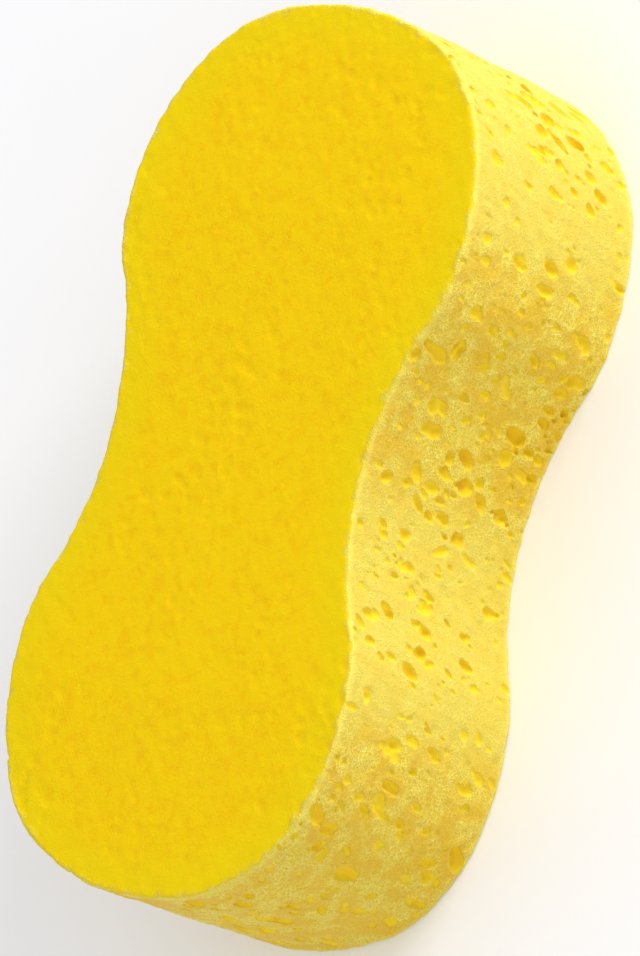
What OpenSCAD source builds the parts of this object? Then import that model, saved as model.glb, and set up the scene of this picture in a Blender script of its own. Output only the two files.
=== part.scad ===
// Peanut-shaped hand sponge, cut in one piece from a block of open-cell foam.
// Millimetres. It lies flat on one of its two large faces: X runs along its length, Y across
// its waist and Z up through its thickness. The origin is the centre of the face below.

/* [Foam body] */
// Overall length
length = 220; // [200:1:260]
// Width of each of the two round lobes
lobe_w = 104; // [94:1:110]
// Width at the waist, where the hand closes on it
waist_w = 79; // [68:1:84]
// Thickness between the two large faces
thickness = 64; // [40:1:80]

/* [Hidden] */
$fn = 180;

lobe_r = lobe_w / 2;
lobe_x = length / 2 - lobe_r;
waist_half = waist_w / 2;

// A waist arc bulges in towards the middle and is tangent to the circles of both lobes:
// (lobe_r + waist_r)^2 = lobe_x^2 + (waist_half + waist_r)^2
waist_r = (pow(lobe_x, 2) + pow(waist_half, 2) - pow(lobe_r, 2)) / (2 * (lobe_r - waist_half));
waist_y = waist_half + waist_r;

// Where a lobe's circle runs into a waist arc, on the line between their two centres
tangent_angle = atan2(waist_y, lobe_x);
tangent_x = lobe_x - lobe_r * cos(tangent_angle);
tangent_y = lobe_r * sin(tangent_angle);

// The blank that fills the space between the lobes, from one lobe's centre to the other's
module waist_blank() {
    polygon([
        [lobe_x, 0],
        [tangent_x, tangent_y],
        [-tangent_x, tangent_y],
        [-lobe_x, 0],
        [-tangent_x, -tangent_y],
        [tangent_x, -tangent_y],
    ]);
}

// The outline that the cutter follows: two round lobes, with a hollow on each side between them
module outline() {
    difference() {
        union() {
            for (side = [-1, 1]) translate([side * lobe_x, 0]) circle(lobe_r);
            waist_blank();
        }
        for (side = [-1, 1]) translate([0, side * waist_y]) circle(waist_r);
    }
}

module sponge_body() {
    color("gold") linear_extrude(thickness) outline();
}

sponge_body();
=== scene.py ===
"""A peanut-shaped sponge of yellow open-cell foam, lying on a plain pale floor.

The foam is one closed mesh. It is meshed from a distance field of the body, out of which
bubbles of several sizes are cut, so that every pore is a real hollow with a real rim.
"""

import math

import bpy
import numpy as np
import openvdb
from mathutils import Matrix, Vector

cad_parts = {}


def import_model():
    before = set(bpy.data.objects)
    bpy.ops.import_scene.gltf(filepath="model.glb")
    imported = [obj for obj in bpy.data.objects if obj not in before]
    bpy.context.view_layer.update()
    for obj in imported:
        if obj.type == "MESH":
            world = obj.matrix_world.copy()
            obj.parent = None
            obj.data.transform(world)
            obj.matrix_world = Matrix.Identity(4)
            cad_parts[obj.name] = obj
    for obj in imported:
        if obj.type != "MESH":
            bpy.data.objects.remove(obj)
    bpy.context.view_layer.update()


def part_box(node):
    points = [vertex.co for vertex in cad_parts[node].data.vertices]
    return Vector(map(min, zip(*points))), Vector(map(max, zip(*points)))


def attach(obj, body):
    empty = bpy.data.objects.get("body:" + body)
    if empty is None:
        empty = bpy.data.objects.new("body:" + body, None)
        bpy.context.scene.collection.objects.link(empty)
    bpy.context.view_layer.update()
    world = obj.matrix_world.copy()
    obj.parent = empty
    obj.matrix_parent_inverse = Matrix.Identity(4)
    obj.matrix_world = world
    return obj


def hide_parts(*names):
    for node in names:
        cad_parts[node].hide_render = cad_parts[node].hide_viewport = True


MM = 0.001
SEED = 11

# Camera: where it looks from, its roll, its lens in millimetres, and its distance and aim in metres
VIEW_AZIMUTH = math.radians(-8.0)
VIEW_ELEVATION = math.radians(50.4)
VIEW_ROLL = math.radians(-69.4)
VIEW_DISTANCE = 2.966
VIEW_LENS = 464.0
AIM_RIGHT = -0.0191
AIM_UP = 0.0074

# Light: the directions that it comes from
WORLD_STRENGTH = 0.78
KEY_DIRECTION = (0.88, -0.43, 0.22)
FILL_DIRECTION = (-0.85, -0.45, 0.30)

# Shape of the foam, in millimetres
WAIST_SHARE = 79 / 104  # the waist against the lobes' width
EDGE_RADIUS = 1.0
FACE_FADE = 1.6  # over which a large face turns into wall
RIM_GLOW_WIDTH = 16.0  # of the painted glow, greener, near the rim of a large face, for light that comes through the foam there
EDGE_HIGHLIGHT_BAND = 2.5  # of the painted highlight, a paler band of wall beside a large face

# Painted light: the wall that looks to +X, where the key light falls, is painted paler and smoother;
# the wall that looks to -X keeps its full grain
SHADE_SIDE_GRAIN_LIMITS = (0.15, -0.15)  # X part of the normal where the grain starts, and where it is full

# Ripples of the cut: height, shortest and longest wave in millimetres, and how many waves
BROAD_RIPPLE = (0.22, 22, 60, 8)
FINE_RIPPLE = (0.10, 3.0, 8.0, 16)
EDGE_RIPPLE = (0.45, 2.0, 7.0, 16)  # of the line between the wall and a large face
MEAN_RIPPLE = 0.05
FACE_EVENNESS = 0.75  # share of the ripple that the large faces don't have

# The grid that the foam is meshed on, in millimetres
VOXEL = 0.4
FIELD_MARGIN = 2.4
SURFACE_BAND = 2.2  # the ripple is worked out only this near the surface

# How the soft foam differs from the exact prism: shares of its size, and millimetres
SQUARENESS = 0.018  # lobes a little blunter than circles
LOBE_FADE = 0.35  # radians of turn over which the waist turns into the blunter lobe
LOBE_TAPER = 0.009  # the lobe at +X is wider, the one at -X narrower
WAIST_BEND = 1.3
SWELL = 0.007  # of the lobes
FOOT_SHRINK = 0.014  # the lower face against the upper one
FOOT_SHIFT = (-1.3, -1.3)

# Pores by size: how many, their half widths in millimetres, and their depths as shares of those.
# The pores of the wall also have a spacing, below 1 where they may overlap a little.
WALL_PORES = (
    (500, (0.95, 2.0), (0.3, 0.95), 0.85),
    (560, (0.55, 0.95), (0.3, 1.0), 0.9),
    (350, (0.35, 0.55), (0.4, 0.9), 1.0),
)
DIMPLES = (1700, (0.7, 1.5), (0.05, 0.11))

# Shape of a pore
RISE = (0.26, 0, 0.96)  # the way that the foam rose, so the way that its bubbles are long
RISE_SPREAD = 0.1  # in any direction
LEAN_SPREAD = 0.25  # along the wall
STRETCH = (1.35, 2.7)  # length against width
DIMPLE_STRETCH = (1.0, 1.5)
LUMPINESS = 0.12
DIMPLE_LUMPINESS = 0.01
LUMP_REACH = 1.3  # how far past its even shape a bubble's lumps can go
MOST_SATELLITES = 2  # smaller bubbles that open into a pore
SATELLITE_SHARE = (0.4, 0.8)  # of the pore's width
SATELLITE_STRETCH = 1.3

# Places of the pores
TRIES = 30  # for each pore, to find it a free place
SMALLER = 1.4  # above 1, the smaller pores of a range are the commoner
LIP_SHARE = 0.75  # of a pore's length, kept clear of the large faces
NEARBY = 8.0  # millimetres, beyond which two pores can't crowd each other
DIMPLE_MARGIN = 0.5  # millimetres, kept clear of the edge

# Colours of the foam
GOLD = (0.875, 0.592, 0.001, 1)
DEEP_GOLD = (0.865, 0.52, 0.001, 1)
# Painted light: the greener glow near the rim of a large face
RIM_GLOW_GOLD = (0.82, 0.63, 0.002, 1)
FLECK = (0.93, 0.72, 0.07, 1)
LEMON = (0.755, 0.535, 0.003, 1)
PALE = (0.92, 0.855, 0.17, 1)
CELL_SHADE = (0.715, 0.42, 0.001, 1)
# Painted light: the paler, smoother colour of the wall on the side that the key light falls on
LIT_SIDE_SMOOTH = (0.68, 0.565, 0.072, 1)
SKIN = (0.80, 0.585, 0.003, 1)
# Painted shade: the colour deepens with depth inside a pore, for light bounced inside the hollow; SKIN
# is the smooth pore wall's own colour
PORE_SHADE = (0.79, 0.55, 0.001, 1)
PORE_DEEP_SHADE = (0.81, 0.51, 0.001, 1)

# Sizes of the patterns in the foam's colour, in millimetres
SPECK_SIZE = 0.5
CELL_SIZE = 0.85
COARSE_CELL_SIZE = 1.5
MOTTLE_SIZE = 2.4
SPOT_SIZE = 4.6
PATCH_SIZE = 7.0

# Gloss of the cut wall and of the large faces: roughness and specular level
WALL_GLOSS = (0.55, 0.33)
FACE_GLOSS = (0.85, 0.08)
PORE_ROUGHNESS = 0.7

# Relief of the fine cells, and the light that goes into the foam: lengths in millimetres
BUMP_STRENGTH = 0.75
BUMP_HEIGHT = 0.35
SUBSURFACE_WEIGHT = 0.3
SUBSURFACE_RADIUS = (1.0, 0.7, 0.12)
SUBSURFACE_SCALE = 2.0


class Outline:
    """The sponge's plan outline: two lobe circles joined by two waist arcs, in millimetres."""

    def __init__(self, length, lobe_width, waist_width):
        self.lobe_r = lobe_width / 2
        self.lobe_x = length / 2 - self.lobe_r
        self.waist_half = waist_width / 2
        gap = self.lobe_r - self.waist_half
        excess = self.lobe_x**2 + self.waist_half**2 - self.lobe_r**2
        self.waist_r = excess / (2 * gap)
        self.waist_y = self.waist_half + self.waist_r
        tangent = math.atan2(self.waist_y, self.lobe_x)
        self.lobe_sweep = math.pi - tangent
        self.waist_sweep = math.pi / 2 - tangent
        self.waist_run = self.waist_r * self.waist_sweep
        self.quarter_run = self.waist_run + self.lobe_r * self.lobe_sweep

    def beside_waist(self, ax, ay):
        """True where the nearest outline is a waist arc, for points folded into x, y >= 0."""
        return self.lobe_x * (ay - self.waist_y) + self.waist_y * ax < 0

    def distance(self, x, y):
        """Signed distance to the outline, negative inside the foam."""
        ax, ay = np.abs(x), np.abs(y)
        lobe = np.hypot(ax - self.lobe_x, ay) - self.lobe_r
        waist = self.waist_r - np.hypot(ax, ay - self.waist_y)
        return np.where(self.beside_waist(ax, ay), waist, lobe)

    def run(self, x, y):
        """Length along the outline from the middle of the waist, from 0 to quarter_run."""
        ax, ay = np.abs(x), np.abs(y)
        waist = self.waist_r * np.arctan2(ax, self.waist_y - ay)
        lobe = self.waist_run + self.lobe_r * (self.lobe_sweep - np.arctan2(ay, ax - self.lobe_x))
        return np.where(self.beside_waist(ax, ay), waist, lobe)

    def facing(self, x, y):
        """X part of the outward normal at the nearest point of the outline."""
        ax, ay = np.abs(x), np.abs(y)
        lobe = (ax - self.lobe_x) / np.maximum(np.hypot(ax - self.lobe_x, ay), 1e-6)
        waist = -ax / np.hypot(ax, ay - self.waist_y)
        return np.sign(x) * np.where(self.beside_waist(ax, ay), waist, lobe)

    def point(self, run):
        """The outline's point at that length from the waist, for x, y >= 0, and its outward normal."""
        if run < self.waist_run:
            turn = run / self.waist_r
            normal = np.array([-math.sin(turn), math.cos(turn)])
            return np.array([0, self.waist_y]) - self.waist_r * normal, normal
        turn = self.lobe_sweep - (run - self.waist_run) / self.lobe_r
        normal = np.array([math.cos(turn), math.sin(turn)])
        return np.array([self.lobe_x, 0]) + self.lobe_r * normal, normal


class Ripple:
    """Smooth noise from a few sine waves, for the unevenness of a knife's cut through soft foam."""

    def __init__(self, rng, height, shortest, longest, count):
        length = rng.uniform(shortest, longest, count)
        heading = rng.normal(size=(count, 3))
        heading /= np.linalg.norm(heading, axis=1)[:, None]
        self.waves = heading * (2 * math.pi / length)[:, None]
        self.phases = rng.uniform(0, 2 * math.pi, count)
        self.height = height / math.sqrt(count / 2)

    def at(self, x, y, z):
        """The noise's height at some places."""
        total = 0
        for wave, phase in zip(self.waves, self.phases):
            total = total + np.sin(x * wave[0] + y * wave[1] + z * wave[2] + phase)
        return self.height * total


class Foam:
    """Distance field of the foam body, and what its surface is like at any point."""

    def __init__(self, outline, thickness, rng):
        self.outline = outline
        self.thickness = thickness
        self.ripples = [Ripple(rng, *BROAD_RIPPLE), Ripple(rng, *FINE_RIPPLE)]
        self.edge_wave = Ripple(np.random.default_rng(SEED + 1), *EDGE_RIPPLE)

    def plain_distance(self, x, y, z):
        """Signed distance to the even body, edges rounded, negative inside."""
        half = self.thickness / 2
        across = self.outline.distance(x, y) + EDGE_RADIUS
        along = np.abs(z - half) - half + EDGE_RADIUS
        outside = np.hypot(np.maximum(across, 0), np.maximum(along, 0))
        return np.minimum(np.maximum(across, along), 0) + outside - EDGE_RADIUS

    def ripple(self, x, y, z):
        """How far the cut surface lies below the even one. The large faces are cut truer."""
        unevenness = 1 - FACE_EVENNESS * self.face_share(x, y, z)
        return unevenness * (MEAN_RIPPLE + sum(ripple.at(x, y, z) for ripple in self.ripples))

    def depth(self, x, y, z):
        """Depth below the cut surface."""
        return -self.plain_distance(x, y, z) - self.ripple(x, y, z)

    def face_share(self, x, y, z):
        """1 on the two large faces, 0 on the wall around them, blending over the edge."""
        half = self.thickness / 2
        across = -self.outline.distance(x, y)
        along = half - np.abs(z - half)
        return np.clip((across - along + self.edge_wave.at(x, y, z)) / FACE_FADE, 0, 1)

    def edge_highlight_share(self, x, y, z):
        """Painted highlight: 1 on the wall right beside a large face, 0 further down the wall and on
        the faces.
        """
        half = self.thickness / 2
        along = half - np.abs(z - half)
        return np.clip(1 - along / EDGE_HIGHLIGHT_BAND, 0, 1) * (1 - self.face_share(x, y, z))

    def shade_side_grain_share(self, x, y):
        """1 where the wall's cut keeps its full grain, on the side away from the key light; 0 on the
        side the key light falls on, which is painted paler and smoother as painted light.
        """
        start, full = SHADE_SIDE_GRAIN_LIMITS
        return np.clip((start - self.outline.facing(x, y)) / (start - full), 0, 1)

    def settle(self, points):
        """The points as the soft foam really lies: blunter lobes, a slight bend and a smaller foot."""
        x, y, z = points.T
        outline = self.outline
        side = np.where(x < 0, -1.0, 1.0)
        reach = np.abs(x) - outline.lobe_x
        turn = np.arctan2(y, reach)
        radius = np.hypot(reach, y)
        fade = np.clip((outline.lobe_sweep - np.abs(turn)) / LOBE_FADE, 0, 1)
        fade = fade * np.clip(radius / outline.lobe_r, 0, 1)
        radius = radius * (1 + fade * (SWELL - SQUARENESS * np.cos(4 * turn)))
        x = side * (outline.lobe_x + radius * np.cos(turn))
        y = radius * np.sin(turn)
        share = x / (outline.lobe_x + outline.lobe_r)
        y = y * (1 + LOBE_TAPER * share) + WAIST_BEND * (1 - share**2)
        low = 1 - z / self.thickness
        x = x * (1 - FOOT_SHRINK * low) + FOOT_SHIFT[0] * low
        y = y * (1 - FOOT_SHRINK * low) + FOOT_SHIFT[1] * low
        return np.stack([x, y, z], axis=1)


def unit(vector):
    """The vector, scaled to a length of 1."""
    vector = np.asarray(vector, float)
    return vector / np.linalg.norm(vector)


class Bubble:
    """A lumpy ellipsoid of air. Its long axis is half_long, the other two are half_short."""

    def __init__(self, rng, centre, axis, half_short, half_long, lumpiness):
        self.centre = np.asarray(centre, float)
        self.axis = unit(axis)
        self.half_short = half_short
        self.half_long = half_long
        lump_size = 0.35 + 0.45 * half_short
        self.waves = rng.normal(0, 0.9, (3, 3)) / lump_size
        self.phases = rng.uniform(0, 2 * math.pi, 3)
        self.lumpiness = lumpiness

    def distance(self, x, y, z):
        """About the signed distance to the bubble's wall, negative in the air."""
        along = x * self.axis[0] + y * self.axis[1] + z * self.axis[2]
        square = x * x + y * y + z * z - along * along
        reach = np.sqrt(np.maximum(square, 0) / self.half_short**2 + (along / self.half_long) ** 2)
        lump = 0
        for wave, phase in zip(self.waves, self.phases):
            lump = lump + np.sin(x * wave[0] + y * wave[1] + z * wave[2] + phase)
        return (reach - 1 + self.lumpiness * lump) * self.half_short


def wall_place(foam, rng, heights):
    """A random point on the wall: its outline point, outward normal and height."""
    run = rng.uniform(0, foam.outline.quarter_run)
    point, normal = foam.outline.point(run)
    signs = rng.choice([-1, 1], 2)
    return point * signs, normal * signs, rng.uniform(*heights)


def wall_lean(rng, normal):
    """A pore's long axis: the way that the foam rose, give or take a little."""
    tangent = np.array([-normal[1], normal[0], 0])
    return unit(RISE + tangent * rng.normal(0, LEAN_SPREAD) + rng.normal(0, RISE_SPREAD, 3))


def crowded(place, room, taken):
    """True if a pore that needs this much room overlaps one that is there already."""
    near = [(c, r) for c, r in taken if np.abs(c - place).max() < NEARBY]
    return any(np.linalg.norm(c - place) < room + r for c, r in near)


def wall_bubble(rng, place, outward, lean, mouth, depth, stretch):
    """A bubble that opens the wall at a place, with the half width of its mouth and its depth."""
    short = (mouth**2 + depth**2) / (2 * depth)
    centre = place + outward * (short - depth)
    return Bubble(rng, centre, lean, short, short * stretch, LUMPINESS * mouth / short)


def wall_pore(rng, place, outward, lean, mouth, depths, stretch):
    """The bubbles of one pore: the main one, and up to two smaller ones that open into it."""
    parts = [wall_bubble(rng, place, outward, lean, mouth, mouth * rng.uniform(*depths), stretch)]
    across = np.cross(outward, lean)
    for _ in range(rng.integers(0, MOST_SATELLITES + 1)):
        beside = place + mouth * (rng.uniform(-0.9, 0.9) * across + rng.uniform(-1, 1) * lean)
        part = mouth * rng.uniform(*SATELLITE_SHARE)
        depth = part * rng.uniform(*depths)
        parts.append(wall_bubble(rng, beside, outward, lean, part, depth, SATELLITE_STRETCH))
    return parts


def wall_bubbles(foam, rng, count, mouths, depths, spacing, taken):
    """Pores of one size in the wall. taken is where pores are already, and is added to."""
    found = []
    made = 0
    for _ in range(TRIES * count):
        if made == count:
            break
        mouth = mouths[0] * (mouths[1] / mouths[0]) ** (rng.random() ** SMALLER)
        stretch = rng.uniform(*STRETCH)
        lip = LIP_SHARE * mouth * stretch
        point, normal, z = wall_place(foam, rng, (lip, foam.thickness - lip))
        place = np.array([*point, z])
        room = spacing * mouth * (1 + stretch) / 2
        if crowded(place, room, taken):
            continue
        taken.append((place, room))
        made += 1
        outward = np.array([*normal, 0])
        lean = wall_lean(rng, normal)
        found += wall_pore(rng, place, outward, lean, mouth, depths, stretch)
    return found


def face_bubbles(foam, rng, count, mouths, depths):
    """Shallow round hollows in both large faces."""
    found = []
    outline = foam.outline
    reach_x = outline.lobe_x + outline.lobe_r
    while len(found) < count:
        x = rng.uniform(-reach_x, reach_x)
        y = rng.uniform(-outline.lobe_r, outline.lobe_r)
        if outline.distance(x, y) > -DIMPLE_MARGIN:
            continue
        mouth = rng.uniform(*mouths)
        depth = mouth * rng.uniform(*depths)
        short = (mouth**2 + depth**2) / (2 * depth)
        z = rng.choice([depth - short, foam.thickness + short - depth])
        turn = rng.uniform(0, 2 * math.pi)
        lean = (math.cos(turn), math.sin(turn), 0)
        long = short * rng.uniform(*DIMPLE_STRETCH)
        found.append(Bubble(rng, (x, y, z), lean, short, long, DIMPLE_LUMPINESS * mouth / short))
    return found


def grid_axis(low, high, step):
    """Evenly spaced grid places, from low up to high or just past it."""
    count = int(math.ceil((high - low) / step)) + 1
    return low + step * np.arange(count)


def cut_bubble(field, axes, bubble, step):
    """Takes a bubble out of the field, in the block of cells around it."""
    reach = bubble.half_long * LUMP_REACH + 2 * step
    spans = []
    for axis, centre in zip(axes, bubble.centre):
        first = max(int((centre - reach - axis[0]) / step), 0)
        last = min(int((centre + reach - axis[0]) / step) + 2, len(axis))
        if first >= last:
            return
        spans.append(slice(first, last))
    x, y, z = (axis[span] - c for axis, span, c in zip(axes, spans, bubble.centre))
    air = bubble.distance(x[:, None, None], y[None, :, None], z[None, None, :])
    block = field[spans[0], spans[1], spans[2]]
    np.maximum(block, -air, out=block)


def foam_field(foam, bubbles, step):
    """The foam's distance field on a regular grid, and the grid's three axes."""
    outline = foam.outline
    reach = (outline.lobe_x + outline.lobe_r, outline.lobe_r)
    lows = (-reach[0] - FIELD_MARGIN, -reach[1] - FIELD_MARGIN, -FIELD_MARGIN)
    highs = (reach[0] + FIELD_MARGIN, reach[1] + FIELD_MARGIN, foam.thickness + FIELD_MARGIN)
    axes = [grid_axis(low, high, step) for low, high in zip(lows, highs)]
    x, y, z = axes[0][:, None, None], axes[1][None, :, None], axes[2][None, None, :]
    field = foam.plain_distance(x, y, z).astype(np.float32)
    cells = np.nonzero(np.abs(field) < SURFACE_BAND)
    field[cells] = -foam.depth(*(axis[cell] for axis, cell in zip(axes, cells)))
    for bubble in bubbles:
        cut_bubble(field, axes, bubble, step)
    return field, axes


def mesh_field(field, axes, step):
    """Points in millimetres and quads of the surface where the field is zero."""
    band = 4 * step
    grid = openvdb.FloatGrid(band)
    grid.copyFromArray(np.clip(field, -band, band))
    points, quads = grid.convertToQuads()
    low = np.array([axis[0] for axis in axes])
    return points * step + low, quads


def keep_largest(points, quads):
    """Drops loose crumbs that bubbles have cut free, and keeps the one connected body."""
    label = np.arange(len(points))
    while True:
        lowest = label[quads].min(axis=1)
        new = label.copy()
        for corner in range(4):
            np.minimum.at(new, quads[:, corner], lowest)
        new = new[new]
        if np.array_equal(new, label):
            break
        label = new
    names, counts = np.unique(label, return_counts=True)
    kept = label == names[counts.argmax()]
    index = np.cumsum(kept) - 1
    return points[kept], index[quads[kept[quads[:, 0]]]]


def build_mesh(name, points, quads):
    """A smooth-shaded mesh from points in millimetres."""
    mesh = bpy.data.meshes.new(name)
    mesh.vertices.add(len(points))
    mesh.vertices.foreach_set("co", (points * MM).astype(np.float32).ravel())
    mesh.loops.add(4 * len(quads))
    mesh.loops.foreach_set("vertex_index", quads.astype(np.int32).ravel())
    mesh.polygons.add(len(quads))
    mesh.polygons.foreach_set("loop_start", np.arange(0, 4 * len(quads), 4, dtype=np.int32))
    mesh.update(calc_edges=True)
    mesh.validate()
    mesh.shade_smooth()
    return mesh


def add_attribute(mesh, name, values):
    """Stores a number at each vertex, for the materials to read."""
    attribute = mesh.attributes.new(name, "FLOAT", "POINT")
    attribute.data.foreach_set("value", values.astype(np.float32))


def on_wall(foam, places):
    """True for the places that are nearer to the wall than to a large face."""
    x, y, z = places.T
    return -foam.outline.distance(x, y) < np.minimum(z, foam.thickness - z)


def lay_out_uvs(mesh, corners, foam):
    """Four flat islands: the wall in two strips, and the two large faces as seen from above."""
    outline = foam.outline
    gap = 3.0
    length = 2 * (outline.lobe_x + outline.lobe_r)
    width = 2 * outline.lobe_r
    row = foam.thickness + gap
    size = max(2 * (width + gap) + 2 * row + gap, 2 * outline.quarter_run + 2 * gap)

    centres = corners.mean(axis=1)
    wall = on_wall(foam, centres)[:, None]
    on_top = (centres[:, 2] > foam.thickness / 2)[:, None]
    side = np.where(centres[:, 1] < 0, -1.0, 1.0)[:, None]

    x, y, z = (corners[..., axis] for axis in range(3))
    run = outline.run(x, y)
    run = np.where(y * side < 0, 2 * outline.quarter_run - run, run)
    wall_u = gap + outline.quarter_run - side * np.sign(x + 1e-9) * run
    wall_v = gap + z + np.where(side < 0, 0, row)
    face_u = gap + x * np.where(on_top, 1, -1) + length / 2
    face_v = gap + 2 * row + y + width / 2 + np.where(on_top, 0, width + gap)
    uv = np.stack([np.where(wall, wall_u, face_u), np.where(wall, wall_v, face_v)], axis=-1) / size
    layer = mesh.uv_layers.new(name="OFBake")  # its own UV layer, with the four islands
    layer.data.foreach_set("uv", uv.astype(np.float32).ravel())


def all_bubbles(foam, rng):
    """Large, middling and small pores in the wall, and shallow dimples in the large faces."""
    taken = []
    bubbles = []
    for count, mouths, depths, spacing in WALL_PORES:
        bubbles += wall_bubbles(foam, rng, count, mouths, depths, spacing, taken)
    return bubbles + face_bubbles(foam, rng, *DIMPLES)


def make_foam(frame_low, frame_high):
    """The foam body, as large as the CAD model's box."""
    size = (np.array(frame_high) - np.array(frame_low)) / MM
    rng = np.random.default_rng(SEED)
    outline = Outline(size[0], size[1], size[1] * WAIST_SHARE)
    foam = Foam(outline, size[2], rng)
    step = VOXEL
    field, axes = foam_field(foam, all_bubbles(foam, rng), step)
    points, quads = keep_largest(*mesh_field(field, axes, step))
    mesh = build_mesh("foam_body", foam.settle(points), quads)
    x, y, z = points.T
    add_attribute(mesh, "depth", foam.depth(x, y, z))
    add_attribute(mesh, "large_face", foam.face_share(x, y, z))
    # edge: where the wall beside a large face gets a painted highlight
    add_attribute(mesh, "edge", foam.edge_highlight_share(x, y, z))
    # grain: 1 on the wall away from the key light, 0 on the lit wall, which the material paints paler
    # and smoother
    add_attribute(mesh, "grain", foam.shade_side_grain_share(x, y))
    # rim: where a large face gets a painted glow near its outline
    add_attribute(mesh, "rim", np.clip(1 + outline.distance(x, y) / RIM_GLOW_WIDTH, 0, 1))
    corners = points[quads]
    lay_out_uvs(mesh, corners, foam)
    mesh.materials.append(foam_material("foam_wall", *WALL_GLOSS))
    mesh.materials.append(foam_material("foam_face", *FACE_GLOSS))
    slots = np.where(on_wall(foam, corners.mean(axis=1)), 0, 1)
    mesh.polygons.foreach_set("material_index", slots.astype(np.int32))
    piece = bpy.data.objects.new("foam_body", mesh)
    bpy.context.scene.collection.objects.link(piece)
    return piece


class Nodes:
    """Short calls that add and link the nodes of one material."""

    def __init__(self, name):
        self.material = bpy.data.materials.new(name)
        self.material.use_nodes = True
        self.tree = self.material.node_tree
        self.shader = self.tree.nodes["Principled BSDF"]

    def add(self, kind, **settings):
        """A new node of a kind, with some of its properties set."""
        node = self.tree.nodes.new(kind)
        for key, value in settings.items():
            setattr(node, key, value)
        return node

    def link(self, source, target):
        self.tree.links.new(source, target)

    def feed(self, socket, value):
        """Links a socket, or sets a plain value."""
        if isinstance(value, bpy.types.NodeSocket):
            self.link(value, socket)
        else:
            socket.default_value = value

    def attribute(self, name):
        """The number stored at the vertices under a name."""
        return self.add("ShaderNodeAttribute", attribute_name=name).outputs["Fac"]

    def math(self, operation, a, b):
        node = self.add("ShaderNodeMath", operation=operation)
        self.feed(node.inputs[0], a)
        self.feed(node.inputs[1], b)
        return node.outputs[0]

    def ramp(self, value, low, high, to_low=0.0, to_high=1.0):
        """A smooth step of value from low to high."""
        node = self.add("ShaderNodeMapRange", interpolation_type="SMOOTHSTEP")
        self.feed(node.inputs["Value"], value)
        node.inputs["From Min"].default_value = low
        node.inputs["From Max"].default_value = high
        self.feed(node.inputs["To Min"], to_low)
        self.feed(node.inputs["To Max"], to_high)
        return node.outputs["Result"]

    def mix(self, share, a, b):
        """Colour a where share is 0, colour b where it is 1."""
        node = self.add("ShaderNodeMix", data_type="RGBA")
        self.feed(node.inputs["Factor"], share)
        self.feed(node.inputs["A"], a)
        self.feed(node.inputs["B"], b)
        return node.outputs["Result"]

    def noise(self, size, detail=2.0, roughness=0.5):
        """Cloudy noise from 0 to 1, with features of a size in millimetres."""
        node = self.add("ShaderNodeTexNoise")
        self.link(self.place(), node.inputs["Vector"])
        node.inputs["Scale"].default_value = 1 / (size * MM)
        node.inputs["Detail"].default_value = detail
        node.inputs["Roughness"].default_value = roughness
        return node.outputs["Fac"]

    def cells(self, size, feature):
        """Distances in a pattern of cells of a size in millimetres."""
        node = self.add("ShaderNodeTexVoronoi", feature=feature)
        self.link(self.place(), node.inputs["Vector"])
        node.inputs["Scale"].default_value = 1 / (size * MM)
        return node.outputs["Distance"]

    def place(self):
        """The object's own coordinates."""
        return self.add("ShaderNodeTexCoord").outputs["Object"]


class Grain:
    """The patterns that the wall and the large faces share."""

    def __init__(self, n):
        self.speck = n.noise(SPECK_SIZE, 3.0, 0.65)
        self.patch = n.noise(PATCH_SIZE)
        fine = n.ramp(n.cells(CELL_SIZE, "DISTANCE_TO_EDGE"), 0.03, 0.14, 1.0, 0.0)
        bright = n.math("MULTIPLY", fine, n.ramp(self.speck, 0.35, 0.6, 0.3, 1.0))
        self.strut = n.math("MULTIPLY", bright, n.ramp(self.patch, 0.35, 0.62, 1.0, 0.4))
        coarse = n.cells(COARSE_CELL_SIZE, "DISTANCE_TO_EDGE")
        self.coarse_strut = n.ramp(coarse, 0.02, 0.13, 1.0, 0.0)


def wall_colour(n, grain):
    """A net of pale struts over golden cells, with deeper patches, a painted paler and smoother lit
    side, and a painted highlight in a pale band beside the large faces.
    """
    wall = n.mix(n.ramp(grain.speck, 0.38, 0.62), CELL_SHADE, LEMON)
    wall = n.mix(n.math("MULTIPLY", grain.strut, 0.95), wall, PALE)
    wall = n.mix(n.math("MULTIPLY", grain.coarse_strut, 0.4), wall, PALE)
    wall = n.mix(n.math("MULTIPLY", n.ramp(grain.patch, 0.42, 0.62), 0.55), wall, CELL_SHADE)
    # Painted light: paler and smoother where the wall faces the key light at +X
    wall = n.mix(n.ramp(n.attribute("grain"), 0.0, 1.0, 0.62, 0.0), wall, LIT_SIDE_SMOOTH)
    # Painted highlight: a paler band of wall along each large face
    return n.mix(n.math("MULTIPLY", n.attribute("edge"), 0.45), wall, PALE)


def face_colour(n, grain):
    """Gold with soft deeper spots, a greener painted glow near the rim and a few light flecks."""
    spots = n.ramp(n.cells(SPOT_SIZE, "SMOOTH_F1"), 0.10, 0.40, 1.0, 0.0)
    face = n.mix(n.ramp(n.noise(MOTTLE_SIZE, 3.0, 0.55), 0.26, 0.50), DEEP_GOLD, GOLD)
    face = n.mix(n.math("MULTIPLY", spots, 0.65), face, DEEP_GOLD)
    # Painted light: a greener glow near the face's rim
    face = n.mix(n.math("MULTIPLY", n.ramp(n.attribute("rim"), 0.0, 1.0), 0.8), face, RIM_GLOW_GOLD)
    return n.mix(n.math("MULTIPLY", n.ramp(grain.speck, 0.56, 0.72), 0.35), face, FLECK)


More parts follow.
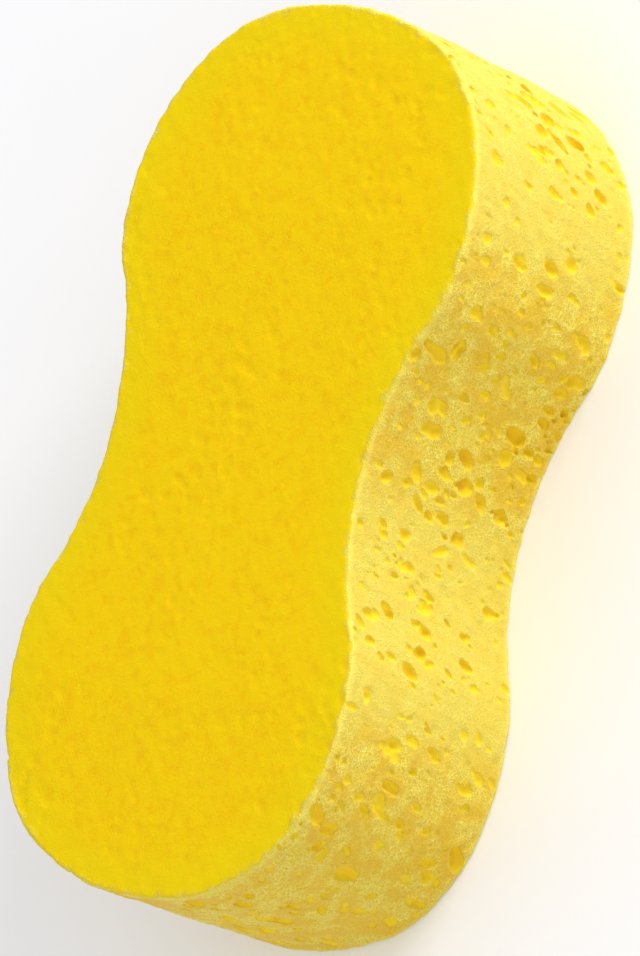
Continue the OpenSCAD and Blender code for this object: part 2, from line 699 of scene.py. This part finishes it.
def foam_normal(n, grain, in_pore, large_face):
    """The struts stand up from the cut wall. Pores are smoother, large faces smoother still."""
    relief = n.math("ADD", grain.strut, n.math("MULTIPLY", grain.coarse_strut, 0.6))
    relief = n.math("ADD", relief, n.math("MULTIPLY", grain.speck, 1.2))
    relief = n.math("MULTIPLY", relief, n.ramp(n.attribute("grain"), 0.0, 1.0, 0.5, 1.0))
    relief = n.math("MULTIPLY", relief, n.ramp(in_pore, 0.0, 1.0, 1.0, 0.25))
    relief = n.math("MULTIPLY", relief, n.ramp(large_face, 0.0, 1.0, 1.0, 0.15))
    bump = n.add("ShaderNodeBump")
    bump.inputs["Strength"].default_value = BUMP_STRENGTH
    bump.inputs["Distance"].default_value = BUMP_HEIGHT * MM
    n.link(relief, bump.inputs["Height"])
    return bump.outputs["Normal"]


def foam_material(name, roughness, specular):
    """Yellow open-cell foam, by depth below the cut and by share of large face, with painted shade that
    deepens the colour inside pores.
    """
    n = Nodes(name)
    grain = Grain(n)
    depth = n.attribute("depth")
    large_face = n.attribute("large_face")
    in_pore = n.ramp(depth, 0.12, 0.42)
    cut = n.mix(large_face, wall_colour(n, grain), face_colour(n, grain))
    # Painted shade: inside pores the colour deepens with depth, and on the large faces the hollows take
    # the deeper gold
    hollow = n.mix(n.ramp(depth, 0.25, 0.9), SKIN, PORE_SHADE)
    hollow = n.mix(n.ramp(depth, 0.8, 2.4), hollow, PORE_DEEP_SHADE)
    hollow = n.mix(large_face, hollow, DEEP_GOLD)
    n.feed(n.shader.inputs["Base Color"], n.mix(in_pore, cut, hollow))
    n.feed(n.shader.inputs["Roughness"], n.ramp(in_pore, 0.0, 1.0, roughness, PORE_ROUGHNESS))
    n.feed(n.shader.inputs["Normal"], foam_normal(n, grain, in_pore, large_face))
    n.shader.inputs["Specular IOR Level"].default_value = specular
    n.shader.inputs["Subsurface Weight"].default_value = SUBSURFACE_WEIGHT
    n.shader.inputs["Subsurface Radius"].default_value = SUBSURFACE_RADIUS
    n.shader.inputs["Subsurface Scale"].default_value = SUBSURFACE_SCALE * MM
    return n.material


def floor_material():
    """Matt and nearly white, with faint broad clouds."""
    n = Nodes("pale_floor")
    clouds = n.mix(n.noise(40.0), (0.93, 0.93, 0.955, 1), (0.95, 0.95, 0.975, 1))
    n.feed(n.shader.inputs["Base Color"], clouds)
    n.shader.inputs["Roughness"].default_value = 0.9
    n.shader.inputs["Specular IOR Level"].default_value = 0.1
    return n.material


def make_floor():
    """A flat square floor that reaches 12 m each way."""
    size = 12.0
    mesh = bpy.data.meshes.new("floor")
    corners = [(-size, -size, 0), (size, -size, 0), (size, size, 0), (-size, size, 0)]
    mesh.from_pydata(corners, [], [(0, 1, 2, 3)])
    mesh.materials.append(floor_material())
    floor = bpy.data.objects.new("floor", mesh)
    bpy.context.scene.collection.objects.link(floor)


def make_camera():
    """A long lens from high on the -Y side, rolled so that the sponge stands upright in the picture."""
    back = Vector((
        math.sin(VIEW_AZIMUTH) * math.cos(VIEW_ELEVATION),
        -math.cos(VIEW_AZIMUTH) * math.cos(VIEW_ELEVATION),
        math.sin(VIEW_ELEVATION),
    ))
    level = Vector((math.cos(VIEW_AZIMUTH), math.sin(VIEW_AZIMUTH), 0))
    upright = back.cross(level)
    right = math.cos(VIEW_ROLL) * level + math.sin(VIEW_ROLL) * upright
    up = math.cos(VIEW_ROLL) * upright - math.sin(VIEW_ROLL) * level
    data = bpy.data.cameras.new("camera")
    data.lens = VIEW_LENS
    data.clip_end = 50
    camera = bpy.data.objects.new("camera", data)
    aim = AIM_RIGHT * right + AIM_UP * up
    turn = Matrix((right, up, back)).transposed().to_4x4()
    camera.matrix_world = Matrix.Translation(aim + VIEW_DISTANCE * back) @ turn
    bpy.context.scene.collection.objects.link(camera)
    bpy.context.scene.camera = camera


def make_light(name, aim, direction, distance, size, watts):
    """A round area light that shines at the aim from a direction. Distance and size in metres."""
    data = bpy.data.lights.new(name, "AREA")
    data.shape = "DISK"
    data.size = size
    data.energy = watts
    light = bpy.data.objects.new(name, data)
    away = Vector(direction).normalized()
    light.location = aim + distance * away
    light.rotation_euler = away.to_track_quat("Z", "Y").to_euler()
    bpy.context.scene.collection.objects.link(light)


def make_lights(aim):
    """An even pale world, a soft low key light from the +X side and a weak fill from the -X side."""
    world = bpy.data.worlds.new("studio")
    world.use_nodes = True
    world.node_tree.nodes["Background"].inputs["Color"].default_value = (1, 1, 1, 1)
    world.node_tree.nodes["Background"].inputs["Strength"].default_value = WORLD_STRENGTH
    bpy.context.scene.world = world
    make_light("key", aim, KEY_DIRECTION, distance=1.8, size=1.1, watts=33)
    make_light("fill", aim, FILL_DIRECTION, distance=1.8, size=1.2, watts=6)


def main():
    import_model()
    foam_low, foam_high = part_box("sponge_body")
    piece = make_foam(foam_low, foam_high)
    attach(piece, "root")
    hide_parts("sponge_body")
    make_floor()
    make_camera()
    make_lights((foam_low + foam_high) / 2)
    bpy.context.scene.view_settings.view_transform = "Standard"


main()
